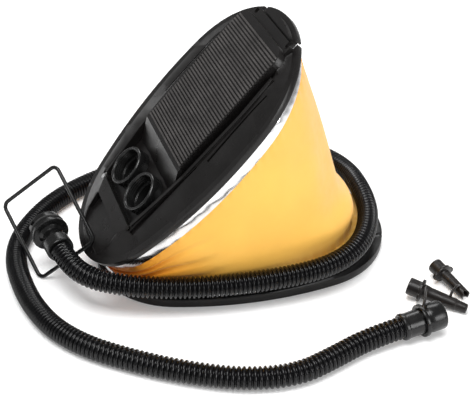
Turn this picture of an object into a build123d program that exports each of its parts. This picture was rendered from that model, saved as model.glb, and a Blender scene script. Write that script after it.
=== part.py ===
"""Foot-operated bellows air pump with its hose, couplings, adapters and wire clip.

Millimetres, +Z up. The base stands on Z = 0 with the origin under the middle of its outline.
+X runs from the hinged nose to the wide end, and -Y is the side that the hose wraps first.
The pedal is drawn flat in its own frame (origin on the hinge axis) and then swung open.
"""

from build123d import *
from math import atan2, cos, pi, radians, sin, sqrt, tan
import os

# ---- plate outline: four tangent arcs --------------------------------------------------------
PLATE_LENGTH = 308.0
NOSE_RADIUS = 84.0
WIDE_RADIUS = 98.0
HALF_WIDTH = 100.0
NOSE_X = -PLATE_LENGTH / 2
WIDE_X = PLATE_LENGTH / 2

# ---- bellows clamp rings ---------------------------------------------------------------------
RING_INSET = 3.4
RING_WIDE_INSET = 12.0
RING_WIDE_RADIUS = 94.0
BAND_THICK = 0.8
BAND_TALL = 9.5
PEDAL_BAND_TALL = 12.0
HEM_IN = 0.85
HEM_OUT = 2.25
SKIRT_OUT = 2.35
SKIRT_IN = 4.85

# ---- base ------------------------------------------------------------------------------------
FLOOR_BOTTOM = 5.8
FLOOR_TOP = 8.6
LIP_TOP = 9.6
RIM_BOTTOM = 0.8
RIM_THICK = 1.8
LIP_THICK = 1.4
SKIRT_TOP = 18.6

# ---- hinge and pedal -------------------------------------------------------------------------
HINGE_X = NOSE_X + 15.0
HINGE_Z = 26.9
OPEN_ANGLE = 46.0
PIN_RADIUS = 3.0
PIN_CLEARANCE = 0.05
EAR_RADIUS = 5.5
DECK_TOP = 29.1
DECK_THICK = 3.0
DECK_BOTTOM = DECK_TOP - DECK_THICK
PEDAL_RIM_BOTTOM = 22.8
SHOULDER_TOP = 34.5
PEDAL_SKIRT_BOTTOM = 9.6
PEDAL_BAND_BOTTOM = 9.8
POCKET_FLOOR = 26.5
TREAD_TOP = 40.1
RIB_HEIGHT = 1.5
RIB_PITCH = 3.45
RIB_WIDTH = 1.75
TREAD_START = 123.0
TREAD_END = 270.0
TREAD_HALF = 53.0

# ---- ports and valves ------------------------------------------------------------------------
PORT_X = 75.0
PORT_Y = 24.5
PORT_OUTER = 20.75
PORT_INNER = 17.75
PORT_TOP = 39.6
VALVE_PLATE_TOP = 15.9
VALVE_PLATE_THICK = 3.0
FLAP_RADIUS = 15.4
FLAP_THICK = 1.0
FLAP_TRAVEL = 2.0
SCREW_X = 45.0
SCREW_Y = 48.0

# ---- slots for the wire clip, and the clip ---------------------------------------------------
SLOT_Y = 40.6
SLOT_WIDTH = 5.2
SLOT_START = 135.5
CLIP_SIDE = 2 * SLOT_Y
CLIP_LONG = 87.1
CLIP_WIRE = 2.0
CLIP_BEND = 7.0
CLIP_CORNER = Vector(-213.5, 8.5, -0.5)
CLIP_TO_PEDAL = Vector(0.66, -0.335, 0.672)
CLIP_TO_TOP = Vector(-0.232, 0.742, 0.629)

# ---- bellows and return spring ---------------------------------------------------------------
FABRIC = 1.5
WAIST_Z = 21.0
SPRING_REACH = 150.0
SPRING_SEAT_DEPTH = 9.0
SPRING_RADIUS = 20.0
SPRING_WIRE = 1.1
SPRING_TURNS = 8

# ---- hose ------------------------------------------------------------------------------------
HOSE_RADIUS = 11.0
FLOOR_Z = 11.2
HOSE_ROUTE = [
    (-192.6, -9.5, 43.4),
    (-188.9, -33.2, 42.2),
    (-176.5, -53.8, 39.4),
    (-155.7, -68.4, 36.8),
    (-121.9, -81.5, 33.4),
    (-84.0, -92.0, 31.6),
    (-40.0, -100.0, 30.8),
    (8.0, -104.2, 30.6),
    (50.0, -103.2, 31.0),
    (84.0, -92.0, 31.6),
    (110.5, -68.5, 31.8),
    (130.5, -35.0, 31.8),
    (140.5, -3.0, 31.0),
    (146.5, 31.0, 28.0),
    (153.5, 68.0, 18.5),
    (151.0, 105.0, 12.0),
    (132.0, 140.0, FLOOR_Z),
    (94.0, 162.0, FLOOR_Z),
    (40.0, 171.0, FLOOR_Z),
    (-20.0, 173.0, FLOOR_Z),
    (-80.0, 166.0, FLOOR_Z),
    (-133.0, 149.0, FLOOR_Z),
    (-172.0, 127.0, FLOOR_Z),
    (-200.0, 100.0, FLOOR_Z),
    (-223.4, 67.0, FLOOR_Z),
    (-234.4, 32.0, FLOOR_Z),
    (-235.0, -6.0, FLOOR_Z),
    (-231.0, -44.0, FLOOR_Z),
    (-219.0, -84.0, FLOOR_Z),
    (-195.0, -120.0, FLOOR_Z),
    (-158.0, -153.0, FLOOR_Z),
    (-115.0, -184.0, FLOOR_Z),
    (-68.0, -209.0, FLOOR_Z),
    (-20.0, -218.0, FLOOR_Z),
    (22.0, -206.0, FLOOR_Z),
    (58.0, -194.5, 12.0),
    (94.0, -192.0, 14.6),
]


# ---- adapters and their tethers --------------------------------------------------------------
STEPPED_START = (130.0, -135.2, 13.7)
STEPPED_TIP = (173.0, -177.0, 5.4)
TAPER_START = (171.2, -111.6, 12.3)
TAPER_TIP = (182.6, -158.6, 5.3)
RING_STRAP = [(116.8, -190.3, 31.0), (122.0, -182.0, 33.6), (133.0, -164.0, 28.6), (140.0, -150.4, 20.4)]
LINK_STRAP = [(161.5, -164.0, 14.0), (165.0, -160.0, 15.4), (173.0, -153.5, 15.6), (178.8, -150.0, 12.6)]


# ---- helpers ---------------------------------------------------------------------------------
def oval(nose_x, wide_x, nose_r, wide_r, half_w):
    """Face of the four-arc outline: nose arc, wide arc and two equal side arcs, all tangent."""
    nose_c = nose_x + nose_r
    wide_c = wide_x - wide_r
    span = wide_c - nose_c
    low, high = 0.0, 5000.0
    for _ in range(60):
        rise = (low + high) / 2
        nose_part = sqrt((half_w - nose_r) * (half_w - nose_r + 2 * rise))
        wide_part = sqrt((half_w - wide_r) * (half_w - wide_r + 2 * rise))
        if nose_part + wide_part > span:
            high = rise
        else:
            low = rise
    side_r = half_w + rise
    side_x = nose_c + nose_part
    nose_turn = atan2(rise, nose_c - side_x)
    wide_turn = atan2(rise, wide_c - side_x)

    def on_side(turn):
        return side_x + side_r * cos(turn), -rise + side_r * sin(turn)

    nose_top = on_side(nose_turn)
    wide_top = on_side(wide_turn)
    side_top = on_side((nose_turn + wide_turn) / 2)
    nose_low, wide_low, side_low = [(x, -y) for x, y in (nose_top, wide_top, side_top)]
    edges = [
        ThreePointArc(nose_low, (nose_x, 0), nose_top),
        ThreePointArc(nose_top, side_top, wide_top),
        ThreePointArc(wide_top, (wide_x, 0), wide_low),
        ThreePointArc(wide_low, side_low, nose_low),
    ]
    return Face(Wire(edges))


def plate_oval(inset):
    """The plates' outline, moved inwards by inset."""
    return oval(
        NOSE_X + inset, WIDE_X - inset, NOSE_RADIUS - inset, WIDE_RADIUS - inset, HALF_WIDTH - inset
    )


def ring_oval(inset):
    """The clamp band's outer outline, moved inwards by inset."""
    return oval(
        NOSE_X + RING_INSET + inset,
        WIDE_X - RING_WIDE_INSET - inset,
        NOSE_RADIUS - RING_INSET - inset,
        RING_WIDE_RADIUS - inset,
        HALF_WIDTH - RING_INSET - inset,
    )


def slab(face, bottom, top):
    """A flat face raised into a solid between two heights."""
    return extrude(Pos(0, 0, bottom) * face, top - bottom, dir=(0, 0, 1))


def ring_wall(outer, inner, bottom, top):
    """An upright wall between two insets of the clamp band's outline."""
    return slab(ring_oval(outer), bottom, top) - slab(ring_oval(inner), bottom, top)


def block(x0, x1, y0, y1, z0, z1):
    """A box given by its limits."""
    return Pos((x0 + x1) / 2, (y0 + y1) / 2, (z0 + z1) / 2) * Box(x1 - x0, y1 - y0, z1 - z0)


def disc(x, y, radius, z0, z1):
    """An upright cylinder given by its centre, radius and two heights."""
    return Pos(x, y, (z0 + z1) / 2) * Cylinder(radius, z1 - z0)


def rod_y(x, z, radius, y0, y1):
    """A cylinder along Y."""
    return Pos(x, (y0 + y1) / 2, z) * Rot(90, 0, 0) * Cylinder(radius, y1 - y0)


def turned(profile):
    """A solid of revolution about Z, from (radius, height) corners."""
    return revolve(Plane.XZ * Polygon(*profile, align=None), Axis.Z)


def from_pedal_frame(shape):
    """Moves a shape from the pedal's own frame (flat, hinge axis at its origin) to the open pump."""
    return Pos(HINGE_X, 0, HINGE_Z) * Rot(0, -OPEN_ANGLE, 0) * shape


def in_pedal_frame(face):
    """Moves a plate outline from the base's frame to the pedal's own frame."""
    return Pos(-HINGE_X, 0, 0) * face


def along(origin, direction):
    """A plane whose Z axis runs along direction."""
    return Plane(origin=origin, z_dir=direction)


def save(shape, node):
    """Writes one node's STEP file."""
    export_step(shape, "parts/" + node + ".step")


# ---- base ------------------------------------------------------------------------------------
def clip_slots(shift):
    """Two notches in a plate's wide end that the wire clip's legs drop into."""
    start = SLOT_START + shift
    half = SLOT_WIDTH / 2
    notch = block(start, start + 30, -half, half, -5, 60) + disc(start, 0, half, -5, 60)
    return [Pos(0, side * SLOT_Y, 0) * notch for side in (-1, 1)]


def base_ribs():
    """Stiffening ribs under the base's floor."""
    long_ribs = [block(-140, 140, y - 1, y + 1, 2.0, FLOOR_BOTTOM + 0.1) for y in (-35, 0, 35)]
    cross_ribs = [block(x - 1, x + 1, -98, 98, 2.0, FLOOR_BOTTOM + 0.1) for x in (-105, -40, 45, 95)]
    ribs = long_ribs[0]
    for rib in long_ribs[1:] + cross_ribs:
        ribs += rib
    return ribs & slab(plate_oval(1.0), 1.5, FLOOR_BOTTOM + 0.1)


def base_plate():
    """Moulded base: floor, rim, lip, bellows skirt, hinge ears, ribs and a central resting pad."""
    body = slab(plate_oval(0), RIM_BOTTOM, LIP_TOP)
    body -= slab(plate_oval(RIM_THICK), RIM_BOTTOM, FLOOR_BOTTOM)
    body -= slab(plate_oval(LIP_THICK), FLOOR_TOP, LIP_TOP)
    body += ring_wall(SKIRT_OUT, SKIRT_IN, FLOOR_TOP - 0.5, SKIRT_TOP)
    body += base_ribs()
    body += disc(0, 0, 22, 0, FLOOR_BOTTOM + 0.1)
    for side in (-1, 1):
        y0, y1 = sorted((side * 16.5, side * 21.5))
        ear = block(HINGE_X - EAR_RADIUS, HINGE_X + EAR_RADIUS, y0, y1, FLOOR_TOP - 0.5, HINGE_Z)
        body += ear + rod_y(HINGE_X, HINGE_Z, EAR_RADIUS, y0, y1)
    body -= rod_y(HINGE_X, HINGE_Z, PIN_RADIUS, -30, 30)
    for notch in clip_slots(0):
        body -= notch
    return body


def feet():
    """Six rubber pads under the base."""
    spots = [(-75, 55), (15, 75), (118, 50)]
    return [disc(x, side * y, 9, 0, FLOOR_BOTTOM) for x, y in spots for side in (-1, 1)]


def hinge_pin():
    """Headed steel pin held in the base's ears."""
    return rod_y(HINGE_X, HINGE_Z, PIN_RADIUS, -21.6, 24.0) + rod_y(HINGE_X, HINGE_Z, 4.8, -23.4, -21.6)


def pin_retainer():
    """Push-on nut on the pin's free end."""
    return rod_y(HINGE_X, HINGE_Z, 4.8, 21.6, 23.0) - rod_y(HINGE_X, HINGE_Z, PIN_RADIUS, 21, 24)


def clamp_band(bottom, tall):
    """Thin metal band that squeezes the bellows' hem onto a skirt."""
    return ring_wall(0.0, BAND_THICK, bottom, bottom + tall)


def band_rivets(bottom, tall):
    """Two rivets that close the clamp band on its far side."""
    middle = bottom + tall / 2
    return [
        rod_y(x, middle, 1.6, HALF_WIDTH - RING_INSET - 0.15, HALF_WIDTH - RING_INSET + 0.9)
        for x in (19.5, 27.5)
    ]


# ---- bellows ---------------------------------------------------------------------------------
def waist_oval(inset):
    """The bellows' outline just above the lower band, drawn in where the hose hugs it."""
    return Pos(0, 0, WAIST_Z) * oval(
        NOSE_X + 4 + inset, 118.0 - inset, 74.0 - inset, 76.0 - inset, 87.0 - inset
    )


def pedal_ring(inset, height):
    """A bellows outline at the pedal's end, in the open position."""
    return from_pedal_frame(Pos(0, 0, height) * in_pedal_frame(ring_oval(inset)))


def wedge(inset, top_height):
    """Ruled wedge between the base's skirt and the pedal's skirt."""
    low_hem = Pos(0, 0, SKIRT_TOP + 0.2) * ring_oval(HEM_IN + inset)
    lower = loft([low_hem, waist_oval(inset)], ruled=True)
    upper = loft([waist_oval(inset), pedal_ring(HEM_IN + inset, top_height)], ruled=True)
    return lower + upper


def bellows():
    """Hollow fabric bellows with the hem that the base's band holds."""
    top = PEDAL_SKIRT_BOTTOM - 0.4
    skin = wedge(0.0, top) - wedge(FABRIC, top)
    return skin + ring_wall(HEM_IN, HEM_OUT, FLOOR_TOP + 0.1, SKIRT_TOP + 0.2)


def bellows_upper_hem():
    """The part of the fabric that the pedal's band holds."""
    top = PEDAL_BAND_BOTTOM + PEDAL_BAND_TALL
    hem = in_pedal_frame(ring_wall(HEM_IN, HEM_OUT, PEDAL_SKIRT_BOTTOM, top))
    return from_pedal_frame(hem)


# ---- return spring ---------------------------------------------------------------------------
def spring_frame(start=0.0):
    """Plane at the spring's foot, square to the chord between the two plates."""
    half = radians(OPEN_ANGLE / 2)
    up = Vector(-sin(half), 0, cos(half))
    foot = Vector(HINGE_X + SPRING_REACH, 0, HINGE_Z - SPRING_SEAT_DEPTH)
    return along(foot + up * start, up)


def spring_length():
    """Distance between the two seats."""
    half = radians(OPEN_ANGLE / 2)
    return 2 * (SPRING_REACH * sin(half) + SPRING_SEAT_DEPTH * cos(half))


def return_spring():
    """Coil spring that lifts the pedal."""
    gap = SPRING_WIRE + 0.15
    tall = spring_length() - 2 * gap
    path = Helix(pitch=tall / SPRING_TURNS, height=tall, radius=SPRING_RADIUS)
    wire = sweep(Plane(origin=path @ 0, z_dir=path % 0) * Circle(SPRING_WIRE), path=path, is_frenet=True)
    return spring_frame(gap).location * wire


def spring_cup_body(sign):
    """Slanted cup with a locating boss, reaching past the plate that carries it."""
    cup = Pos(0, 0, -20) * Cylinder(24, 40)
    boss = Pos(0, 0, 2.5) * (Cylinder(17, 5) - Cylinder(12, 5))
    return Rot(0 if sign > 0 else 180, 0, 0) * (cup + boss)


def spring_seat_lower():
    """Cup on the base's floor."""
    shape = spring_frame().location * spring_cup_body(1)
    return shape & block(-150, 150, -60, 60, FLOOR_TOP, 120)


def spring_seat_upper():
    """Cup under the pedal's tread."""
    shape = spring_frame(spring_length()).location * spring_cup_body(-1)
    room = block(90, 240, -48, 48, -60, TREAD_TOP - DECK_THICK)
    return shape & from_pedal_frame(room)


# ---- pedal -----------------------------------------------------------------------------------
def shoulder(inset, drop):
    """Raised shoulder that climbs from the flange to the flat round the tread."""
    low = oval(NOSE_X + 7 + inset, WIDE_X - 6 - inset, 77 - inset, 92 - inset, 93 - inset)
    high = oval(NOSE_X + 31 + inset, WIDE_X - 18 - inset, 53 - inset, 67 - inset, 68 - inset)
    bottom = Pos(0, 0, DECK_TOP - drop) * low
    top = Pos(0, 0, SHOULDER_TOP - drop) * high
    return in_pedal_frame(loft([bottom, top], ruled=True))


def pocket_face(grow):
    """Outline of the recess that holds the ports and the tread."""
    corners = [
        (46 - grow, 47 + grow),
        (112, 57 + grow),
        (200, 60.5 + grow),
        (248 + grow, 57 + grow),
        (258 + grow, 50 + grow),
    ]
    outline = corners + [(x, -y) for x, y in reversed(corners)]
    return fillet(Polygon(*outline, align=None).vertices(), 5.0)


def end_flat():
    """Flat end of the shoulder, between the clip slots."""
    outline = slab(in_pedal_frame(plate_oval(5.0)), DECK_BOTTOM, SHOULDER_TOP)
    return outline & block(262, 300, -46, 46, DECK_BOTTOM, SHOULDER_TOP)


def nose_recess(grow):
    """Outline of the shallow recess in the nose."""
    corners = [(-3 - grow, 27 + grow), (12, 37 + grow), (31 + grow, 38 + grow)]
    outline = corners + [(x, -y) for x, y in reversed(corners)]
    return fillet(Polygon(*outline, align=None).vertices(), 2.5)


def side_strip(side, start, stop):
    """A strip beside the recess' long edge, from one offset to another."""
    line = [(50, 47.1), (112, 57), (200, 60.5), (246, 57.5)]
    inner = [(x, side * (y + start)) for x, y in line]
    outer = [(x, side * (y + stop)) for x, y in reversed(line)]
    return Polygon(*(inner + outer), align=None)


def outer_groove(side):
    """Tapered groove outside the ridge, from the nose to the middle of the tread."""
    corners = [(44, 52.2), (138, 64.0), (138, 65.4), (45, 58.5)]
    return Polygon(*[(x, side * y) for x, y in corners], align=None)


def far_groove(side):
    """Narrow groove beside the tread's far half."""
    corners = [(150, 69.0), (232, 67.5), (232, 69.0), (150, 71.6)]
    return Polygon(*[(x, side * y) for x, y in corners], align=None)


def tread_face(shrink):
    """Outline of the raised tread, rounded at its far corners."""
    half = TREAD_HALF - shrink
    plain = Pos((TREAD_START + TREAD_END) / 2, 0) * Rectangle(TREAD_END - TREAD_START - 2 * shrink, 2 * half)
    far = plain.vertices().sort_by(Axis.X)[-2:]
    return fillet(far, 16.0 - shrink)


def apron(shrink):
    """Ramp from the ports' pocket up to the tread."""
    low = POCKET_FLOOR - 0.5
    high = TREAD_TOP - shrink
    back = TREAD_START + 2
    profile = Polygon((97 + 2 * shrink, low), (back, low), (back, high), (121 + shrink, high), align=None)
    return extrude(Plane.XZ * profile, TREAD_HALF + 1.5 - shrink, both=True)


def tread_ribs():
    """Anti-slip ribs across the tread."""
    count = int((TREAD_END - TREAD_START - 6) / RIB_PITCH)
    strip = slab(tread_face(1.0), TREAD_TOP - 0.2, TREAD_TOP + RIB_HEIGHT)
    ribs = []
    for index in range(count):
        x = TREAD_START + 3 + index * RIB_PITCH
        ribs.append(strip & block(x, x + RIB_WIDTH, -60, 60, TREAD_TOP - 0.2, TREAD_TOP + RIB_HEIGHT))
    return ribs


def inside_skirt(shape, inset):
    """Keeps the part of a shape that lies inside the pedal's bellows ring."""
    return shape & slab(in_pedal_frame(ring_oval(inset)), -5, 60)


def pedal_tub():
    """Walls and floor of the recess."""
    return inside_skirt(slab(pocket_face(2.5), POCKET_FLOOR - DECK_THICK, DECK_TOP), SKIRT_IN - 1)


def pedal_deck():
    """Flange, rim, shoulder and skirt, hollow underneath."""
    deck = slab(in_pedal_frame(plate_oval(0)), PEDAL_RIM_BOTTOM, DECK_TOP)
    deck -= slab(in_pedal_frame(plate_oval(RIM_THICK)), PEDAL_RIM_BOTTOM, DECK_BOTTOM)
    deck += shoulder(0.0, 0.0)
    deck -= shoulder(3.0, DECK_THICK)
    deck += in_pedal_frame(ring_wall(SKIRT_OUT, SKIRT_IN, PEDAL_SKIRT_BOTTOM, DECK_TOP - 1))
    return deck


def pedal_ears():
    """Two ears that run on the hinge pin."""
    ears = []
    for side in (-1, 1):
        y0, y1 = sorted((side * 10.5, side * 16.0))
        ear = block(-EAR_RADIUS, EAR_RADIUS, y0, y1, 0, DECK_BOTTOM + 1) + rod_y(0, 0, EAR_RADIUS, y0, y1)
        ears.append(ear - rod_y(0, 0, PIN_RADIUS + PIN_CLEARANCE, y0 - 1, y1 + 1))
    return ears


def pedal_plate():
    """Moulded foot pedal with its recess, ramp, ribbed tread, nose pocket and clip slots."""
    floor = POCKET_FLOOR - DECK_THICK
    body = pedal_deck() + pedal_tub()
    body -= inside_skirt(slab(pocket_face(0.0), POCKET_FLOOR, SHOULDER_TOP + 5), SKIRT_IN + 2)
    body += inside_skirt(slab(tread_face(0.0), floor, DECK_TOP), SKIRT_IN - 1)
    body += slab(tread_face(0.0), DECK_TOP - 1, TREAD_TOP) + apron(0.0)
    body -= inside_skirt(slab(tread_face(3.0), 0, TREAD_TOP - DECK_THICK), SKIRT_IN + 2)
    body += end_flat()
    for side in (-1, 1):
        body -= disc(PORT_X, side * PORT_Y, PORT_OUTER + 3.2, POCKET_FLOOR, TREAD_TOP + 2)
        body -= disc(PORT_X, side * PORT_Y, 19.0, 0, POCKET_FLOOR + 1)
        body += disc(SCREW_X, side * SCREW_Y, 4.0, VALVE_PLATE_TOP + 0.2, SHOULDER_TOP - 1)
        body -= disc(SCREW_X, side * SCREW_Y, 1.6, 0, SHOULDER_TOP + 2)
    body += slab(nose_recess(2.0), DECK_BOTTOM - 1.5, DECK_TOP)
    body -= slab(nose_recess(0.0), DECK_TOP - 1.6, SHOULDER_TOP + 2)
    for side in (-1, 1):
        body += slab(side_strip(side, 0.3, 4.4), DECK_TOP - 1, SHOULDER_TOP + 1.8)
        body -= slab(outer_groove(side), SHOULDER_TOP - 3.6, SHOULDER_TOP + 2)
        body -= slab(far_groove(side), SHOULDER_TOP - 2.2, SHOULDER_TOP + 2)
    body -= block(279.5, 281.5, -38, 38, DECK_TOP + 0.6, SHOULDER_TOP + 2)
    for ear in pedal_ears():
        body += ear
    for notch in clip_slots(-HINGE_X):
        body -= notch
    for rib in tread_ribs():
        body += rib
    return from_pedal_frame(body)


def pedal_screws():
    """Two pan-head screws that hold the valve plate under the pedal."""
    screws = []
    for side in (-1, 1):
        head = disc(SCREW_X, side * SCREW_Y, 2.7, SHOULDER_TOP, SHOULDER_TOP + 1.6)
        shank = disc(SCREW_X, side * SCREW_Y, 1.55, VALVE_PLATE_TOP - 2.5, SHOULDER_TOP)
        screws.append(from_pedal_frame(head + shank))
    return screws


# ---- valves and ports ------------------------------------------------------------------------
def valve_plate():
    """Plate under the ports with a spoked opening for each flap."""
    low = VALVE_PLATE_TOP - VALVE_PLATE_THICK
    plate = block(38, 108, -52, 52, low, VALVE_PLATE_TOP)
    for side in (-1, 1):
        y = side * PORT_Y
        window = disc(PORT_X, y, 13.5, low - 1, VALVE_PLATE_TOP + 1)
        window -= disc(PORT_X, y, 4.0, low - 2, VALVE_PLATE_TOP + 2)
        for turn in (0, 90):
            window -= Pos(PORT_X, y, low) * Rot(0, 0, turn) * Box(40, 3, 20)
        plate -= window
        plate -= disc(PORT_X, y, 1.5, low - 1, VALVE_PLATE_TOP + 1)
        plate -= disc(SCREW_X, side * SCREW_Y, 1.55, low - 1, VALVE_PLATE_TOP + 1)
    return from_pedal_frame(plate)


def flap(side, outlet):
    """Rubber disc that closes one spoked opening, above it on the outlet and below it on the inlet."""
    low = VALVE_PLATE_TOP + 0.05 if outlet else VALVE_PLATE_TOP - VALVE_PLATE_THICK - 0.05 - FLAP_THICK
    shape = disc(PORT_X, side * PORT_Y, FLAP_RADIUS, low, low + FLAP_THICK)
    return from_pedal_frame(shape - disc(PORT_X, side * PORT_Y, 1.6, low - 1, low + 2))


def flap_stems():
    """Rivets that guide the two flaps and stop them after their travel."""
    room = FLAP_THICK + FLAP_TRAVEL + 0.15
    low = VALVE_PLATE_TOP - VALVE_PLATE_THICK
    outlet = disc(PORT_X, -PORT_Y, 1.5, low, VALVE_PLATE_TOP + room)
    outlet += disc(PORT_X, -PORT_Y, 3.5, VALVE_PLATE_TOP + room, VALVE_PLATE_TOP + room + 1.2)
    inlet = disc(PORT_X, PORT_Y, 1.5, low - room, VALVE_PLATE_TOP)
    inlet += disc(PORT_X, PORT_Y, 3.5, low - room - 1.2, low - room)
    return [from_pedal_frame(outlet), from_pedal_frame(inlet)]


def port_gaskets():
    """Rubber rings between the valve plate and the port collars."""
    rings = []
    for side in (-1, 1):
        ring = disc(PORT_X, side * PORT_Y, 18.9, VALVE_PLATE_TOP, VALVE_PLATE_TOP + 1.0)
        rings.append(from_pedal_frame(ring - disc(PORT_X, side * PORT_Y, 16.2, 0, 30)))
    return rings


def port_collar(side):
    """Open collar that the hose coupling plugs into, with a stop ledge and a thread-like ridge."""
    bottom = VALVE_PLATE_TOP + 1.0
    profile = [
        (16.4, bottom),
        (18.95, bottom),
        (18.95, POCKET_FLOOR + 0.05),
        (PORT_OUTER, POCKET_FLOOR + 0.05),
        (PORT_OUTER, PORT_TOP - 0.8),
        (PORT_OUTER - 0.8, PORT_TOP),
        (PORT_INNER + 0.6, PORT_TOP),
        (PORT_INNER, PORT_TOP - 0.6),
        (PORT_INNER, 27.0),
        (15.9, 27.0),
        (15.9, 25.0),
        (16.4, 24.0),
    ]
    return from_pedal_frame(Pos(PORT_X, side * PORT_Y, 0) * turned(profile))


# ---- wire clip -------------------------------------------------------------------------------
def wire_clip():
    """Closed rectangle of coated wire that holds the folded pump shut when it hooks the slots."""
    to_pedal = CLIP_TO_PEDAL.normalized()
    to_top = (CLIP_TO_TOP - to_pedal * CLIP_TO_TOP.dot(to_pedal)).normalized()
    plane = Plane(origin=CLIP_CORNER, x_dir=to_pedal, z_dir=to_pedal.cross(to_top))
    corners = Pos(CLIP_SIDE / 2, CLIP_LONG / 2) * Rectangle(CLIP_SIDE, CLIP_LONG)
    path = fillet(corners.vertices(), CLIP_BEND).wire()
    start = path @ 0
    section = Plane(origin=start, z_dir=path % 0) * Circle(CLIP_WIRE)
    return plane.location * sweep(section, path=path)


# ---- hose ------------------------------------------------------------------------------------
def route_radii(points):
    """Arc radius at each corner: 0.45 of the shorter run over the tangent of half the turn."""
    radii = []
    for before, corner, after in zip(points, points[1:], points[2:]):
        come = Vector(*corner) - Vector(*before)
        leave = Vector(*after) - Vector(*corner)
        turn = radians(come.get_angle(leave))
        radii.append(0.45 * min(come.length, leave.length) / tan(turn / 2))
    return radii


def hose_path():
    """The hose's centre line: straight runs joined by tangent arcs."""
    radii = route_radii(HOSE_ROUTE)
    print("hose radii", [round(radius) for radius in radii])
    return FilletPolyline(*HOSE_ROUTE, radius=radii)


def hose_tube():
    """Plain tube along the hose's route."""
    path = hose_path()
    tube = sweep(Plane(origin=path @ 0, z_dir=path % 0) * Circle(HOSE_RADIUS), path=path)
    print("hose length", round(path.length, 1))
    print("tube volume over section times length", round(tube.volume / (pi * HOSE_RADIUS**2 * path.length), 4))
    return tube


def hose_end(first, second):
    """Plane at the end of the hose, looking away from it."""
    end = Vector(*first)
    return along(end, end - Vector(*second))


def pump_coupling(at):
    """Cuff, neck and round head that plugs into a port."""
    profile = [
        (8.0, 0.0),
        (13.2, 0.0),
        (13.8, 2.0),
        (13.6, 13.0),
        (12.2, 15.0),
        (9.9, 19.0),
        (9.9, 25.0),
        (12.5, 27.6),
        (18.8, 28.6),
        (18.8, 30.6),
        (16.6, 31.2),
        (17.3, 31.8),
        (17.3, 36.0),
        (15.7, 36.0),
        (15.7, 38.7),
        (17.3, 38.7),
        (17.0, 45.0),
        (14.0, 45.0),
        (14.0, 32.0),
        (8.0, 24.0),
    ]
    head = turned(profile)
    for turn in (35, 215):
        head += Rot(0, 0, turn) * block(17.0, 19.6, -2.5, 2.5, 40.0, 43.0)
    return at.location * head


def coupling_o_ring(at):
    """Seal in the head's groove."""
    return at.location * Pos(0, 0, 37.35) * Torus(17.0, 1.2)


def hose_end_fitting(at):
    """Cuff and wider socket at the hose's free end."""
    profile = [
        (8.0, 0.0),
        (12.2, 0.0),
        (13.2, 1.2),
        (13.2, 4.0),
        (12.4, 5.0),
        (12.6, 26.0),
        (13.8, 28.5),
        (14.2, 31.0),
        (14.2, 42.0),
        (13.6, 43.8),
        (12.8, 44.6),
        (11.0, 44.6),
        (11.0, 28.6),
        (8.0, 26.6),
    ]
    return at.location * turned(profile)


def tether_ring(at):
    """Soft ring round the cuff that carries the adapters' straps."""
    return at.location * (Pos(0, 0, 22.8) * (Cylinder(16.0, 3.8) - Cylinder(12.65, 5)))


def adapter(start, tip, profile, ears):
    """Nozzle adapter lying on its flange, with two grip ears beside the flange."""
    at = along(Vector(*start), Vector(*tip) - Vector(*start))
    body = turned(profile)
    grip = extrude(Pos(0, 0, 12.2) * SlotOverall(2 * ears, 9.0), 2.4)
    grip -= Cylinder(6.0, 60)
    return at.location * (body + grip)


def stepped_adapter():
    """Wide adapter for large valves, with a narrower tip."""
    profile = [
        (7.2, 0.0),
        (8.6, 0.0),
        (8.8, 1.0),
        (8.6, 11.8),
        (11.6, 12.2),
        (11.6, 14.6),
        (7.6, 15.2),
        (7.2, 20.0),
        (6.7, 22.0),
        (5.9, 50.0),
        (5.4, 50.4),
        (5.0, 60.5),
        (4.2, 61.5),
        (3.2, 61.5),
        (3.4, 22.0),
        (7.2, 14.0),
    ]
    return adapter(STEPPED_START, STEPPED_TIP, profile, 13.2)


def taper_adapter():
    """Slim adapter for pinch valves, with a fish-mouth end."""
    profile = [
        (6.2, 0.0),
        (7.6, 0.0),
        (7.9, 1.0),
        (7.7, 11.8),
        (9.8, 12.2),
        (9.8, 14.6),
        (6.0, 15.4),
        (5.4, 40.0),
        (5.0, 49.0),
        (3.6, 49.0),
        (3.6, 18.0),
        (6.2, 12.0),
    ]
    body = adapter(TAPER_START, TAPER_TIP, profile, 12.8)
    mouth = along(Vector(*TAPER_TIP), Vector(*TAPER_TIP) - Vector(*TAPER_START))
    return body - mouth.location * Rot(90, 0, 0) * Cylinder(3.2, 20)


def strap(points):
    """Thin tether between two pieces."""
    path = FilletPolyline(*points, radius=route_radii(points))
    return sweep(Plane(origin=path @ 0, z_dir=path % 0) * Circle(1.4), path=path)


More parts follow.
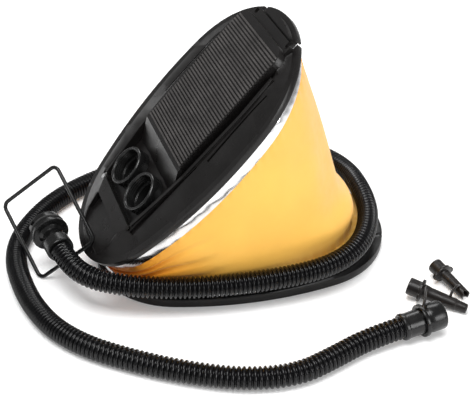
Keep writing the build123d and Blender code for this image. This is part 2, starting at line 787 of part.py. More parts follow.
def main():
    """Builds and writes every node."""
    os.makedirs("parts", exist_ok=True)
    save(base_plate(), "base_plate")
    save(Compound(feet()), "feet")
    save(hinge_pin(), "hinge_pin")
    save(pin_retainer(), "pin_retainer")
    save(clamp_band(FLOOR_TOP + 0.3, BAND_TALL), "base_clamp_band")
    save(Compound(band_rivets(FLOOR_TOP + 0.3, BAND_TALL)), "base_band_rivets")
    save(bellows(), "bellows")
    save(bellows_upper_hem(), "bellows_upper_hem")
    save(return_spring(), "return_spring")
    save(spring_seat_lower(), "spring_seat_lower")
    save(spring_seat_upper(), "spring_seat_upper")
    save(pedal_plate(), "pedal_plate")
    band = in_pedal_frame(clamp_band(PEDAL_BAND_BOTTOM, PEDAL_BAND_TALL))
    save(from_pedal_frame(band), "pedal_clamp_band")
    rivets = [in_pedal_frame(rivet) for rivet in band_rivets(PEDAL_BAND_BOTTOM, PEDAL_BAND_TALL)]
    save(Compound([from_pedal_frame(rivet) for rivet in rivets]), "pedal_band_rivets")
    save(Compound(pedal_screws()), "pedal_screws")
    save(valve_plate(), "valve_plate")
    save(flap(-1, True), "inflate_flap")
    save(flap(1, False), "deflate_flap")
    save(Compound(flap_stems()), "flap_stems")
    save(Compound(port_gaskets()), "port_gaskets")
    save(port_collar(-1), "inflate_port")
    save(port_collar(1), "deflate_port")
    save(wire_clip(), "wire_clip")
    save(hose_tube(), "hose_tube")
    pump_end = hose_end(HOSE_ROUTE[0], HOSE_ROUTE[1])
    far_end = hose_end(HOSE_ROUTE[-1], HOSE_ROUTE[-2])
    save(pump_coupling(pump_end), "pump_coupling")
    save(coupling_o_ring(pump_end), "coupling_o_ring")
    save(hose_end_fitting(far_end), "hose_end_fitting")
    save(tether_ring(far_end), "tether_ring")
    save(stepped_adapter(), "stepped_adapter")
    save(taper_adapter(), "taper_adapter")
    save(strap(RING_STRAP), "ring_strap")
    save(strap(LINK_STRAP), "link_strap")


main()
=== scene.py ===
"""Looks for the foot-operated bellows air pump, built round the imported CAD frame."""

import math

import bmesh
import bpy
import numpy as np
from mathutils import Matrix, Vector


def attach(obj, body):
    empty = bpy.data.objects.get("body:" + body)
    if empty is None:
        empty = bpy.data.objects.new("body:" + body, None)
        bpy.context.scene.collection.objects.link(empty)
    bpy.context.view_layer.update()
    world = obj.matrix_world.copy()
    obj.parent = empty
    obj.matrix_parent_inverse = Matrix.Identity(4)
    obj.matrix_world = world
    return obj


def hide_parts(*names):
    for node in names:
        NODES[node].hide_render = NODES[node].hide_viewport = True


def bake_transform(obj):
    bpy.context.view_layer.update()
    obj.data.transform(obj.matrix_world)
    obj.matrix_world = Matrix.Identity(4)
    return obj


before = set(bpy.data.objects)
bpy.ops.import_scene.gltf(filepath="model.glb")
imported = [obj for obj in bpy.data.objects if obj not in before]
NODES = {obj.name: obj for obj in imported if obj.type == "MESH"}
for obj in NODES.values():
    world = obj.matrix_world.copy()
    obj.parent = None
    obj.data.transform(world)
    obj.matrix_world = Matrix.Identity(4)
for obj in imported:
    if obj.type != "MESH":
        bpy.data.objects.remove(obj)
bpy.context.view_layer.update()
MM = 0.001

# ---- dimensions shared with the CAD source, in millimetres ----------------------------------
NOSE_X, WIDE_X = -154.0, 154.0
NOSE_RADIUS, HALF_WIDTH = 84.0, 100.0
RING_INSET, RING_WIDE_INSET, RING_WIDE_RADIUS = 3.4, 12.0, 94.0
HEM_INSET = 0.85
HINGE = Vector((-139.0, 0.0, 26.9))
OPEN_ANGLE = math.radians(46)
BAND_TOP = 18.4
PEDAL_BAND_BOTTOM = 9.8
PORT_X, PORT_Y, PORT_INNER, PORT_TOP = 75.0, 24.5, 17.75, 39.6
SPRING_REACH, SPRING_SEAT_DEPTH = 150.0, 9.0
SPRING_RADIUS, SPRING_WIRE, SPRING_TURNS = 20.0, 1.1, 8
FLOOR_Z = 11.2
HOSE_ROUTE = [
    (-192.6, -9.5, 43.4),
    (-188.9, -33.2, 42.2),
    (-176.5, -53.8, 39.4),
    (-155.7, -68.4, 36.8),
    (-121.9, -81.5, 33.4),
    (-84.0, -92.0, 31.6),
    (-40.0, -100.0, 30.8),
    (8.0, -104.2, 30.6),
    (50.0, -103.2, 31.0),
    (84.0, -92.0, 31.6),
    (110.5, -68.5, 31.8),
    (130.5, -35.0, 31.8),
    (140.5, -3.0, 31.0),
    (146.5, 31.0, 28.0),
    (153.5, 68.0, 18.5),
    (151.0, 105.0, 12.0),
    (132.0, 140.0, FLOOR_Z),
    (94.0, 162.0, FLOOR_Z),
    (40.0, 171.0, FLOOR_Z),
    (-20.0, 173.0, FLOOR_Z),
    (-80.0, 166.0, FLOOR_Z),
    (-133.0, 149.0, FLOOR_Z),
    (-172.0, 127.0, FLOOR_Z),
    (-200.0, 100.0, FLOOR_Z),
    (-223.4, 67.0, FLOOR_Z),
    (-234.4, 32.0, FLOOR_Z),
    (-235.0, -6.0, FLOOR_Z),
    (-231.0, -44.0, FLOOR_Z),
    (-219.0, -84.0, FLOOR_Z),
    (-195.0, -120.0, FLOOR_Z),
    (-158.0, -153.0, FLOOR_Z),
    (-115.0, -184.0, FLOOR_Z),
    (-68.0, -209.0, FLOOR_Z),
    (-20.0, -218.0, FLOOR_Z),
    (22.0, -206.0, FLOOR_Z),
    (58.0, -194.5, 12.0),
    (94.0, -192.0, 14.6),
]

# ---- dimensions of the Blender pieces, in millimetres ------------------------------------------
# Distance along the hose from the coupling, and the ridges' pitch there.
RIDGE_PITCH = [
    (0, 4.4),
    (320, 4.4),
    (400, 5.2),
    (480, 5.2),
    (620, 4.6),
    (900, 3.7),
    (1130, 3.7),
    (1190, 4.9),
    (1491, 4.95),
]
GROOVE_RADIUS, RIDGE_HEIGHT, RIDGE_SHARPNESS = 8.0, 2.95, 0.8
FABRIC_THICK = 1.1
# The cloth's outline behind the hose: nose and wide ends, their radii, and the half width.
WAIST_OVAL, WAIST_HEIGHT = (NOSE_X + 4, 119.0, 74.5, 77.0, 88.0), 22.5
# Creases near the nose: share of the fabric's height, depth, and half width in the same share.
NOSE_CREASES = ((0.22, 5.0, 0.05), (0.47, 6.5, 0.06), (0.72, 4.5, 0.05))
THREAD_TURNS, THREAD_PITCH, THREAD_DEPTH = 4, 2.3, 0.55


# ---- camera ----------------------------------------------------------------------------------
CAMERA_PLACE = Vector((-0.3274, -0.9168, 0.7254))
CAMERA_TARGET = Vector((0.0184, 0.0632, 0.0))
CAMERA_LENS, CAMERA_SENSOR = 86.1, 36.0
CAMERA_ROLL = 0.013


def make_camera():
    """The photograph's viewpoint, long lens and slight roll."""
    data = bpy.data.cameras.new("camera")
    data.lens, data.sensor_width = CAMERA_LENS, CAMERA_SENSOR
    data.clip_start, data.clip_end = 0.05, 20
    camera = bpy.data.objects.new("camera", data)
    bpy.context.scene.collection.objects.link(camera)
    turn = (CAMERA_TARGET - CAMERA_PLACE).to_track_quat("-Z", "Y").to_matrix().to_4x4()
    roll = Matrix.Rotation(CAMERA_ROLL, 4, "Z")
    camera.matrix_world = Matrix.Translation(CAMERA_PLACE) @ turn @ roll
    bpy.context.scene.camera = camera


# ---- mesh helpers ----------------------------------------------------------------------------
def new_object(name, data):
    """Links a mesh, curve or light into the scene."""
    made = bpy.data.objects.new(name, data)
    bpy.context.scene.collection.objects.link(made)
    return made


def travelled(points):
    """Distance along a line of points at each of them."""
    return np.concatenate([[0], np.cumsum(np.linalg.norm(np.diff(points, axis=0), axis=1))])


def full_turn(count):
    """Evenly spaced angles round a circle."""
    return np.arange(count) / count * 2 * math.pi


def grid_mesh(name, points, close_u, close_v, caps=False):
    """A quad grid from an array of points [u][v], joined up in either direction."""
    points = np.asarray(points, float)
    rows, cols = points.shape[:2]
    faces = []
    for u in range(rows if close_u else rows - 1):
        for v in range(cols if close_v else cols - 1):
            un, vn = (u + 1) % rows, (v + 1) % cols
            faces.append((u * cols + v, un * cols + v, un * cols + vn, u * cols + vn))
    if caps:
        faces.append(tuple(range(cols))[::-1])
        faces.append(tuple((rows - 1) * cols + v for v in range(cols)))
    data = bpy.data.meshes.new(name)
    data.from_pydata([tuple(p) for p in points.reshape(-1, 3)], [], faces)
    data.validate()
    work = bmesh.new()
    work.from_mesh(data)
    bmesh.ops.recalc_face_normals(work, faces=work.faces)
    work.to_mesh(data)
    work.free()
    for face in data.polygons:
        face.use_smooth = True
    return new_object(name, data)


def put(made, material, body=None, node=None):
    """Material, CAD body and replaced node of a new piece."""
    made.data.materials.clear()
    made.data.materials.append(material)
    if body:
        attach(made, body)
    if node:
        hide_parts(node)
    return made


# ---- node helpers ----------------------------------------------------------------------------
class Nodes:
    """Short forms for building one material's node tree."""

    def __init__(self, name):
        self.material = bpy.data.materials.new(name)
        self.material.use_nodes = True
        self.tree = self.material.node_tree
        self.shader = self.tree.nodes["Principled BSDF"]
        self.place = self.tree.nodes.new("ShaderNodeTexCoord").outputs["Object"]

    def set(self, **values):
        """Sets the shader's own sockets, with _ for a space in a socket's name."""
        for key, value in values.items():
            self.shader.inputs[key.replace("_", " ")].default_value = value

    def link(self, source, target):
        self.tree.links.new(source, target)

    def noise(self, scale, detail=3.0, rough=0.55, place=None):
        """Noise in the object's own coordinates."""
        made = self.tree.nodes.new("ShaderNodeTexNoise")
        made.inputs["Scale"].default_value = scale
        made.inputs["Detail"].default_value = detail
        made.inputs["Roughness"].default_value = rough
        self.link(place or self.place, made.inputs["Vector"])
        return made.outputs["Fac"]

    def stretch(self, scale):
        """The object's coordinates with each axis scaled."""
        made = self.tree.nodes.new("ShaderNodeMapping")
        made.inputs["Scale"].default_value = scale
        self.link(self.place, made.inputs["Vector"])
        return made.outputs["Vector"]

    def ramp(self, source, stops):
        """Colour ramp from (position, grey or colour) stops."""
        made = self.tree.nodes.new("ShaderNodeValToRGB")
        ramp = made.color_ramp
        while len(ramp.elements) < len(stops):
            ramp.elements.new(0.5)
        for element, (position, colour) in zip(ramp.elements, stops):
            element.position = position
            rgb = colour if hasattr(colour, "__len__") else (colour,) * 3
            element.color = (*rgb, 1.0)
        self.link(source, made.inputs["Fac"])
        return made.outputs["Color"]

    def maths(self, kind, a, b=None, clamp=False):
        """One Math node on numbers or sockets."""
        made = self.tree.nodes.new("ShaderNodeMath")
        made.operation = kind
        made.use_clamp = clamp
        for socket, value in zip(made.inputs, (a, b)):
            if value is None:
                continue
            if isinstance(value, (int, float)):
                socket.default_value = value
            else:
                self.link(value, socket)
        return made.outputs[0]

    def mix(self, factor, a, b, blend="MIX"):
        """Mix of two colours or sockets by a factor or socket."""
        made = self.tree.nodes.new("ShaderNodeMix")
        made.data_type = "RGBA"
        made.blend_type = blend
        fac_in, a_in, b_in = made.inputs[0], made.inputs[6], made.inputs[7]
        for socket, value in ((fac_in, factor), (a_in, a), (b_in, b)):
            if isinstance(value, (int, float)):
                socket.default_value = value
            elif hasattr(value, "__len__"):
                socket.default_value = (*value, 1.0)
            else:
                self.link(value, socket)
        return made.outputs[2]

    def along(self, direction, origin=(0, 0, 0)):
        """Distance along a direction from an origin, in metres."""
        less = self.tree.nodes.new("ShaderNodeVectorMath")
        less.operation = "SUBTRACT"
        self.link(self.place, less.inputs[0])
        less.inputs[1].default_value = origin
        dot = self.tree.nodes.new("ShaderNodeVectorMath")
        dot.operation = "DOT_PRODUCT"
        self.link(less.outputs[0], dot.inputs[0])
        dot.inputs[1].default_value = direction
        return dot.outputs["Value"]

    def bump(self, height, strength, distance, under=None):
        made = self.tree.nodes.new("ShaderNodeBump")
        made.inputs["Strength"].default_value = strength
        made.inputs["Distance"].default_value = distance
        self.link(height, made.inputs["Height"])
        if under is not None:
            self.link(under, made.inputs["Normal"])
        return made.outputs["Normal"]

    def finish(self, colour=None, rough=None, normal=None):
        """Links what drives the shader and gives back the material."""
        ends = (("Base Color", colour), ("Roughness", rough), ("Normal", normal))
        for name, value in ends:
            if value is not None:
                self.link(value, self.shader.inputs[name])
        return self.material


# ---- materials -------------------------------------------------------------------------------
def moulded(name, dark, light, rough, specular=0.5):
    """Moulded plastic: faint cloudy colour, fine spark-eroded grain and pale scuffs."""
    n = Nodes(name)
    colour = n.ramp(n.noise(38, 4), [(0.35, dark), (0.7, light)])
    scuff = n.ramp(n.noise(260, 6, 0.7, n.stretch((1, 0.25, 1))), [(0.6, 0.0), (0.78, 1.0)])
    colour = n.mix(n.maths("MULTIPLY", scuff, 0.18), colour, [min(1, c * 2.4) for c in light])
    roughness = n.ramp(n.noise(90, 5), [(0.3, rough - 0.07), (0.75, rough + 0.08)])
    normal = n.bump(n.noise(1900, 2, 0.6), 0.35, 0.00006)
    n.set(Specular_IOR_Level=specular)
    return n.finish(colour, roughness, normal)


WORN_ABOVE = 0.0403  # metres above the hinge, just over the tread's face
WEAR_EDGE = 1600  # how sharply the wear begins there, per metre


def pedal_plastic():
    """The pedal's plastic, with the ribs' tops worn grey by shoes."""
    n = Nodes("pedal_moulding")
    up = (-math.sin(OPEN_ANGLE), 0, math.cos(OPEN_ANGLE))
    height = n.along(up, tuple(HINGE * MM))
    dark, light = (0.005, 0.0045, 0.0043), (0.009, 0.008, 0.0078)
    colour = n.ramp(n.noise(30, 4), [(0.3, dark), (0.75, light)])
    top = n.maths("MULTIPLY", n.maths("SUBTRACT", height, WORN_ABOVE), WEAR_EDGE, clamp=True)
    patchy = n.ramp(n.noise(55, 5, 0.6), [(0.3, 0.45), (0.7, 1.0)])
    colour = n.mix(n.maths("MULTIPLY", top, patchy), colour, (0.072, 0.067, 0.065))
    scuff = n.ramp(n.noise(240, 6, 0.7, n.stretch((1, 0.2, 1))), [(0.62, 0.0), (0.8, 1.0)])
    colour = n.mix(n.maths("MULTIPLY", scuff, 0.14), colour, (0.04, 0.038, 0.036))
    roughness = n.ramp(n.noise(80, 5), [(0.3, 0.26), (0.75, 0.38)])
    normal = n.bump(n.noise(1700, 2, 0.6), 0.3, 0.00006)
    n.set(Specular_IOR_Level=0.32)
    return n.finish(colour, roughness, normal)


def metal(name, tint, rough, brushed=(1, 1, 1)):
    """Bright strip or turned metal with fine drawn lines and faint smudges."""
    n = Nodes(name)
    lines = n.noise(2600, 3, 0.6, n.stretch(brushed))
    colour = n.ramp(n.noise(45, 4), [(0.3, [c * 0.86 for c in tint]), (0.7, tint)])
    roughness = n.ramp(n.noise(60, 5), [(0.3, rough), (0.75, rough + 0.12)])
    normal = n.bump(lines, 0.12, 0.00003)
    n.set(Metallic=1.0)
    return n.finish(colour, roughness, normal)


def screw_metal():
    """Screw heads with painted light: the far one is painted near white as a painted highlight, the
    near one near black as a painted dark reflection.
    """
    n = Nodes("screw_steel")
    # Painted reflection: heads on the far side get a near-white colour, heads on the near side a
    # near-black one.
    far = n.maths("MULTIPLY", n.along((0, 1, 0)), 1000, clamp=True)
    colour = n.mix(far, (0.035, 0.033, 0.03), (0.95, 0.95, 0.95))
    colour = n.mix(1.0, colour, n.ramp(n.noise(400, 4), [(0.3, 0.8), (0.7, 1.0)]), "MULTIPLY")
    n.set(Metallic=1.0)
    roughness = n.ramp(n.noise(300, 4), [(0.3, 0.3), (0.7, 0.45)])
    return n.finish(colour, roughness, n.bump(n.noise(2000, 2), 0.1, 0.00003))


# Distance from the foot of the nose, in metres, and the cloth's colour there: the cloth's yellow dye,
# with the deep orange of the first stops as painted shade for the creases at the foot of the nose.
FABRIC_DYE_AND_SHADE = [
    (0.0, (0.72, 0.17, 0.004)),
    (0.045, (0.95, 0.37, 0.02)),
    (0.09, (1.0, 0.54, 0.085)),
    (0.18, (1.0, 0.56, 0.1)),
    (0.3, (1.0, 0.46, 0.085)),
]


def fabric():
    """Coated yellow cloth: fine grain, cloudy colour, and painted shade in deeper orange at the foot
    of the nose.
    """
    n = Nodes("fabric")
    rise = n.along((0.75, 0, 0.66), (-0.139, 0, 0.012))
    # Painted shade: the colour turns deep orange towards the foot of the nose, where the creases lie
    # in shade; further up it is the cloth's yellow dye.
    dye_and_shade = n.ramp(rise, FABRIC_DYE_AND_SHADE)
    cloud = n.ramp(n.noise(16, 4), [(0.3, 0.9), (0.75, 1.0)])
    colour = n.mix(1.0, dye_and_shade, cloud, "MULTIPLY")
    grime = n.ramp(n.noise(70, 6, 0.65), [(0.62, 0.0), (0.85, 1.0)])
    colour = n.mix(n.maths("MULTIPLY", grime, 0.12), colour, (0.62, 0.30, 0.05))
    fine = n.bump(n.noise(1500, 2, 0.5), 0.22, 0.00012)
    soft = n.bump(n.noise(46, 3, 0.5), 0.22, 0.0016, fine)
    roughness = n.ramp(n.noise(120, 4), [(0.3, 0.46), (0.7, 0.6)])
    n.set(Sheen_Weight=0.12, Sheen_Roughness=0.5, Specular_IOR_Level=0.35)
    return n.finish(colour, roughness, soft)


def gloss_black(name, colour, rough, grain=0.00004, specular=0.35):
    """Shiny black soft plastic with faint flow marks and dust."""
    n = Nodes(name)
    n.set(Specular_IOR_Level=specular)
    dark, light = [c * 0.75 for c in colour], [c * 1.5 for c in colour]
    tone = n.ramp(n.noise(60, 4), [(0.3, dark), (0.75, light)])
    dust = n.ramp(n.noise(520, 6, 0.7), [(0.64, 0.0), (0.85, 1.0)])
    tone = n.mix(n.maths("MULTIPLY", dust, 0.05), tone, (0.10, 0.095, 0.09))
    roughness = n.ramp(n.noise(110, 5), [(0.3, rough), (0.75, rough + 0.12)])
    normal = n.bump(n.noise(300, 3, 0.5), 0.2, grain)
    return n.finish(tone, roughness, normal)


def rubber():
    """Dull rubber with a fine bloom."""
    n = Nodes("rubber")
    tone = n.ramp(n.noise(150, 5), [(0.3, (0.012, 0.012, 0.012)), (0.8, (0.035, 0.034, 0.033))])
    roughness = n.ramp(n.noise(90, 3), [(0.3, 0.62), (0.7, 0.8)])
    return n.finish(tone, roughness, n.bump(n.noise(1400, 3), 0.3, 0.00008))


BASE = moulded("base_moulding", (0.004, 0.0037, 0.0035), (0.008, 0.0073, 0.007), 0.42, 0.25)
PEDAL = pedal_plastic()
STEEL = metal("steel", (0.86, 0.86, 0.87), 0.14, (0.1, 0.1, 6))
SCREW = screw_metal()
SPRING = metal("spring_wire", (0.5, 0.5, 0.52), 0.25)
FABRIC = fabric()
RUBBER = rubber()
PORT = gloss_black("port_plastic", (0.006, 0.006, 0.006), 0.2, specular=0.5)
VALVE = moulded("valve_plastic", (0.05, 0.05, 0.05), (0.075, 0.074, 0.072), 0.5)
CLIP = gloss_black("clip_wire", (0.005, 0.005, 0.005), 0.24)
HOSE = gloss_black("hose", (0.0025, 0.0025, 0.003), 0.12, 0.00002, 0.3)
COUPLING = gloss_black("coupling", (0.005, 0.005, 0.005), 0.2)
ADAPTER = moulded("adapter", (0.0065, 0.005, 0.0045), (0.012, 0.0095, 0.0085), 0.36, 0.35)

FINISHES = {
    "base_plate": BASE,
    "feet": RUBBER,
    "hinge_pin": STEEL,
    "pin_retainer": STEEL,
    "base_clamp_band": STEEL,
    "base_band_rivets": STEEL,
    "bellows_upper_hem": FABRIC,
    "spring_seat_lower": VALVE,
    "spring_seat_upper": VALVE,
    "pedal_plate": PEDAL,
    "pedal_clamp_band": STEEL,
    "pedal_band_rivets": STEEL,
    "pedal_screws": SCREW,
    "valve_plate": VALVE,
    "inflate_flap": RUBBER,
    "deflate_flap": RUBBER,
    "flap_stems": VALVE,
    "port_gaskets": RUBBER,
    "inflate_port": PORT,
    "deflate_port": PORT,
    "wire_clip": CLIP,
    "pump_coupling": COUPLING,
    "coupling_o_ring": RUBBER,
    "hose_end_fitting": COUPLING,
    "tether_ring": COUPLING,
    "stepped_adapter": ADAPTER,
    "taper_adapter": ADAPTER,
    "ring_strap": ADAPTER,
    "link_strap": ADAPTER,
}


# Edge rounding in millimetres, where it isn't the usual.
USUAL_ROUNDING = 0.3
EDGE_ROUNDING = {
    "pedal_plate": 0.6,
    "base_plate": 0.6,
    "base_clamp_band": 0.15,
    "pedal_clamp_band": 0.15,
}


def dress_cad_nodes():
    """Gives the hard CAD nodes their materials and softens their edges."""
    for node, material in FINISHES.items():
        target = NODES[node]
        if not target.data.materials:
            target.data.materials.append(material)
        for material_slot in target.material_slots:
            material_slot.link = "OBJECT"
            material_slot.material = material
        soften(target, EDGE_ROUNDING.get(node, USUAL_ROUNDING))


def soften(target, width):
    """Rounds the sharp edges and shades the rest smoothly, without touching the mesh itself."""
    weld = target.modifiers.new("weld", "WELD")
    weld.merge_threshold = 0.00002
    bevel = target.modifiers.new("round", "BEVEL")
    bevel.width = width * MM
    bevel.segments = 2
    bevel.limit_method = "ANGLE"
    bevel.angle_limit = math.radians(32)
    bevel.use_clamp_overlap = True
    bevel.harden_normals = True


# ---- outline ---------------------------------------------------------------------------------
def oval(nose_x, wide_x, nose_r, wide_r, half_w, count):
    """Evenly spaced points round the four-arc outline, starting at the wide end."""
    nose_c, wide_c = nose_x + nose_r, wide_x - wide_r
    low, high = 0.0, 5000.0
    for _ in range(60):
        rise = (low + high) / 2
        nose_part = math.sqrt((half_w - nose_r) * (half_w - nose_r + 2 * rise))
        wide_part = math.sqrt((half_w - wide_r) * (half_w - wide_r + 2 * rise))
        if nose_part + wide_part > wide_c - nose_c:
            high = rise
        else:
            low = rise
    side_r, side_x = half_w + rise, nose_c + nose_part
    wide_turn = math.atan2(rise, wide_c - side_x)
    nose_turn = math.atan2(rise, nose_c - side_x)
    arcs = [
        (wide_c, 0.0, wide_r, 0.0, wide_turn),
        (side_x, -rise, side_r, wide_turn, nose_turn),
        (nose_c, 0.0, nose_r, nose_turn, math.pi),
    ]
    half = []
    for cx, cy, radius, start, stop in arcs:
        for turn in np.linspace(start, stop, 400)[:-1]:
            half.append((cx + radius * math.cos(turn), cy + radius * math.sin(turn)))
    half.append((nose_x, 0.0))
    line = np.array(half + [(x, -y) for x, y in reversed(half[1:-1])] + [half[0]])
    steps = travelled(line)
    wanted = np.linspace(0, steps[-1], count, endpoint=False)
    return np.stack([np.interp(wanted, steps, line[:, k]) for k in (0, 1)], axis=1)


def ring(inset, count):
    """The clamp bands' outline moved inwards by inset."""
    return oval(
        NOSE_X + RING_INSET + inset,
        WIDE_X - RING_WIDE_INSET - inset,
        NOSE_RADIUS - RING_INSET - inset,
        RING_WIDE_RADIUS - inset,
        HALF_WIDTH - RING_INSET - inset,
        count,
    )


def open_pedal(flat, height):
    """Points of a flat outline at a height in the pedal's own frame, in the open position."""
    x, z = flat[:, 0] - HINGE.x, np.full(len(flat), height)
    c, s = math.cos(OPEN_ANGLE), math.sin(OPEN_ANGLE)
    return np.stack([HINGE.x + x * c - z * s, flat[:, 1], HINGE.z + x * s + z * c], axis=1)


def at_height(flat, height):
    """Points of a flat outline at a height above the floor."""
    return np.concatenate([flat, np.full((len(flat), 1), height)], axis=1)


# ---- soft pieces that bend across the hinge --------------------------------------------------
def fan_blend(made, share):
    """Works out each vertex's share of the hinge's turn and writes it for a moment into the vertex
    places, then puts the piece's own shape back, so the piece is not bent here.
    """
    count = len(made.data.vertices)
    shape = np.empty(count * 3)
    made.data.vertices.foreach_get("co", shape)
    share = np.clip(share, 0, 1)
    place = 0.5 - np.sin(np.arcsin(1 - 2 * share) / 3)
    pattern = np.zeros((count, 3))
    pattern[:, 2] = place
    made.data.vertices.foreach_set("co", pattern.ravel())
    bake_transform(made)
    made.data.vertices.foreach_set("co", shape)
    made.data.update()


def bump_at(value, centre, width):
    """A rounded hump of height 1, for shaping the cloth."""
    return np.exp(-(((value - centre) / width) ** 2))


def make_bellows():
    """The fabric, gathered at both bands, pinched behind the hose and creased near the nose."""
    around, rows = 420, 96
    outer = ring(HEM_INSET, around)
    foot = at_height(outer, BAND_TOP - 2.0)
    lip = at_height(outer, BAND_TOP + 0.4)
    waist = at_height(oval(*WAIST_OVAL, around), WAIST_HEIGHT)
    top = open_pedal(outer, PEDAL_BAND_BOTTOM - 0.6)
    tuck = open_pedal(outer, PEDAL_BAND_BOTTOM + 1.5)
    step = np.roll(outer, -1, axis=0) - np.roll(outer, 1, axis=0)
    out = np.stack([step[:, 1], -step[:, 0], np.zeros(around)], axis=1)
    out /= np.linalg.norm(out, axis=1)[:, None]
    run = full_turn(around)
    wide = np.clip((outer[:, 0] - 20) / 110, 0, 1) ** 1.5
    nose = np.clip((-20 - outer[:, 0]) / 120, 0, 1)
    points, shares = [foot, lip], [0.0, 0.0]
    for row in range(rows + 1):
        v = (row / rows) ** 1.15
        middle = np.sin(math.pi * v)
        place = waist * (1 - v) + top * v
        bulge = 8.5 * wide * bump_at(place[:, 2], 50, 15)
        bulge += 1.2 * middle * (1 - wide)
        pleats = 0.7 * np.sin(run * 61 + 1.7 * np.sin(run * 5))
        gather = pleats * (bump_at(v, 0, 0.07) + bump_at(v, 1, 0.05))
        slack = 1.1 * np.sin(run * 7 + 3.1 * v) * middle
        slack = slack + 0.7 * np.sin(run * 13 - 5 * v + 1.0)
        fold = 0.0
        for centre, depth, width in NOSE_CREASES:
            wander = centre + 0.03 * np.sin(run * 9 + centre * 20)
            fold = fold - depth * nose * bump_at(v, wander, width)
        fold = fold + 2.6 * nose * middle
        shift = bulge + gather + slack * np.sin(math.pi * min(1, v * 1.02)) + fold
        points.append(place + out * shift[:, None])
        shares.append(v)
    points.append(tuck)
    shares.append(1.0)
    made = grid_mesh("bellows_fabric", np.array(points) * MM, False, True)
    thick = made.modifiers.new("thick", "SOLIDIFY")
    thick.thickness = FABRIC_THICK * MM
    thick.offset = -1
    fan_blend(made, np.repeat(shares, around))
    return put(made, FABRIC, None, "bellows")


def make_return_spring():
    """The coil spring between its two seats, as wire of even pitch with capped ends."""
    half = OPEN_ANGLE / 2
    up = Vector((-math.sin(half), 0, math.cos(half)))
    side = Vector((math.cos(half), 0, math.sin(half)))
    across = Vector((0, 1, 0))
    foot = Vector((HINGE.x + SPRING_REACH, 0, HINGE.z - SPRING_SEAT_DEPTH))
    tall = 2 * (SPRING_REACH * math.sin(half) + SPRING_SEAT_DEPTH * math.cos(half))
    gap = SPRING_WIRE + 0.15
    steps, around = SPRING_TURNS * 36, 10
    points, shares = [], []
    for step in range(steps + 1):
        share = step / steps
        turn = share * SPRING_TURNS * 2 * math.pi
        rise = gap + (tall - 2 * gap) * share
        radial = side * math.cos(turn) + across * math.sin(turn)
        centre = foot + up * rise + radial * SPRING_RADIUS
        section = []
        for k in range(around):
            a = k / around * 2 * math.pi
            offset = (radial * math.cos(a) + up * math.sin(a)) * SPRING_WIRE
            section.append(tuple((centre + offset) * MM))
        points.append(section)
        shares += [share] * around
    made = grid_mesh("return_coil", points, False, True, caps=True)
    fan_blend(made, np.array(shares))
    return put(made, SPRING, None, "return_spring")


def make_port_threads():
    """Screw-thread rings inside the two port collars."""
    end = PORT_TOP - 1.0
    start = end - THREAD_TURNS * THREAD_PITCH
    sunk, root, crest = PORT_INNER + 0.4, PORT_INNER - 0.1, PORT_INNER - THREAD_DEPTH
    profile = [(sunk, start)]
    for k in range(THREAD_TURNS):
        base = start + k * THREAD_PITCH
        profile.append((root, base))
        profile.append((crest, base + 0.35 * THREAD_PITCH))
        profile.append((crest, base + 0.6 * THREAD_PITCH))
    profile += [(root, end), (sunk, end)]
    turn = full_turn(72)
    for name, side in (("port_thread_near", -1), ("port_thread_far", 1)):
        centre = np.array([HINGE.x + PORT_X, side * PORT_Y])
        rows = []
        for radius, height in profile:
            circle = centre + radius * np.stack([np.cos(turn), np.sin(turn)], axis=1)
            rows.append(open_pedal(circle, height))
        made = grid_mesh(name, np.array(rows) * MM, True, True)
        put(made, PORT, "pedal")
        soften(made, 0.1)


def hose_line():
    """Points of the hose's smooth centre line, read from a spline through its route."""
    data = bpy.data.curves.new("hose_line", "CURVE")
    data.dimensions = "3D"
    spline = data.splines.new("NURBS")
    spline.points.add(len(HOSE_ROUTE) - 1)
    for point, place in zip(spline.points, HOSE_ROUTE):
        point.co = (*(c * MM for c in place), 1.0)
    spline.order_u = 3
    spline.use_endpoint_u = True
    spline.resolution_u = 24
    line = new_object("hose_line", data)
    bpy.context.view_layer.update()
    mesh = bpy.data.meshes.new_from_object(line)
    points = np.array([v.co for v in mesh.vertices], float)
    bpy.data.objects.remove(line)
    bpy.data.meshes.remove(mesh)
    return points


def placed(points, wanted):
    """Points at the wanted distances along a dense line."""
    steps = travelled(points)
    return np.stack([np.interp(wanted, steps, points[:, k]) for k in range(3)], axis=1)


def ridge_rows(length, per_ridge):
    """Distances of the mesh's rows along the hose, so many to each ridge."""
    where = [0.0]
    while where[-1] < length:
        pitch = np.interp(where[-1] / MM, *zip(*RIDGE_PITCH))
        where.append(where[-1] + pitch * MM / per_ridge)
    return np.array(where) * length / where[-1]


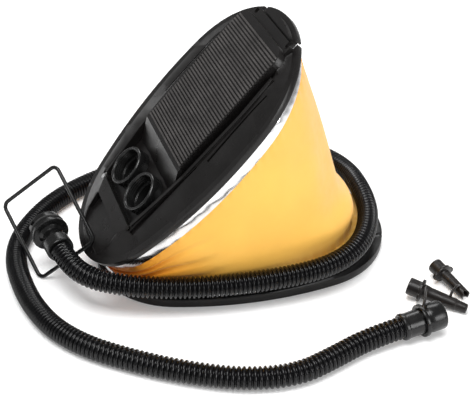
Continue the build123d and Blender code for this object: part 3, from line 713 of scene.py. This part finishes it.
def make_hose():
    """Corrugated hose: round ridges with narrow grooves, closest together in the far loop."""
    per_ridge, around = 10, 32
    dense = hose_line()
    length = travelled(dense)[-1]
    line = placed(dense, ridge_rows(length, per_ridge))
    heading = np.gradient(line, axis=0)
    heading /= np.linalg.norm(heading, axis=1)[:, None]
    side = np.cross(heading[0], (0, 0, 1.0))
    turn = full_turn(around)[:, None]
    rows = []
    for row, (centre, ahead) in enumerate(zip(line, heading)):
        side = side - ahead * side.dot(ahead)
        side /= np.linalg.norm(side)
        over = np.cross(ahead, side)
        phase = (row % per_ridge) / per_ridge
        ridge = math.sin(math.pi * phase) ** RIDGE_SHARPNESS
        radius = (GROOVE_RADIUS + RIDGE_HEIGHT * ridge) * MM
        rows.append(centre + radius * (np.cos(turn) * side + np.sin(turn) * over))
    made = grid_mesh("hose", rows, False, True, caps=True)
    put(made, HOSE, "base", "hose_tube")
    return made


# ---- studio ----------------------------------------------------------------------------------
WORLD_STRENGTH = 0.34
FLOOR_REACH = 6
# Name, place, what it points at, size and power of each soft light.
LIGHTS = (
    ("key", (-0.35, -0.35, 1.7), (0, 0, 0.1), (0.9, 0.9), 27),
    ("fill", (0.9, -1.5, 0.7), (0, 0, 0.1), (0.8, 0.8), 15),
    ("back", (0.5, 1.3, 1.4), (0, 0, 0.15), (1.2, 0.6), 14),
)


def area_light(name, place, target, size, power):
    """A soft rectangular light pointing at a target."""
    data = bpy.data.lights.new(name, "AREA")
    data.shape = "RECTANGLE"
    data.size, data.size_y = size
    data.energy = power
    light = new_object(name, data)
    light.location = place
    light.rotation_euler = (Vector(target) - Vector(place)).to_track_quat("-Z", "Y").to_euler()


def make_studio():
    """Pale floor, a bright even world and three soft lights."""
    bpy.context.scene.view_settings.view_transform = "Standard"
    data = bpy.data.meshes.new("floor")
    corners = [(x * FLOOR_REACH, y * FLOOR_REACH, 0) for x, y in ((-1, -1), (1, -1), (1, 1), (-1, 1))]
    data.from_pydata(corners, [], [(0, 1, 2, 3)])
    floor = new_object("floor", data)
    n = Nodes("floor")
    tone = n.ramp(n.noise(2.0, 2), [(0.3, (0.93, 0.93, 0.93)), (0.7, (0.95, 0.95, 0.95))])
    n.set(Specular_IOR_Level=0.1, Emission_Color=(1, 1, 1, 1), Emission_Strength=0.12)
    data.materials.append(n.finish(tone, n.ramp(n.noise(3.0), [(0.3, 0.8), (0.7, 0.9)])))
    world = bpy.data.worlds.new("studio")
    world.use_nodes = True
    bpy.context.scene.world = world
    shade = world.node_tree.nodes["Background"]
    shade.inputs["Color"].default_value = (1, 1, 1, 1)
    shade.inputs["Strength"].default_value = WORLD_STRENGTH
    for light in LIGHTS:
        area_light(*light)


# ---- build -----------------------------------------------------------------------------------
make_camera()
make_hose()
dress_cad_nodes()
make_bellows()
make_return_spring()
make_port_threads()
make_studio()
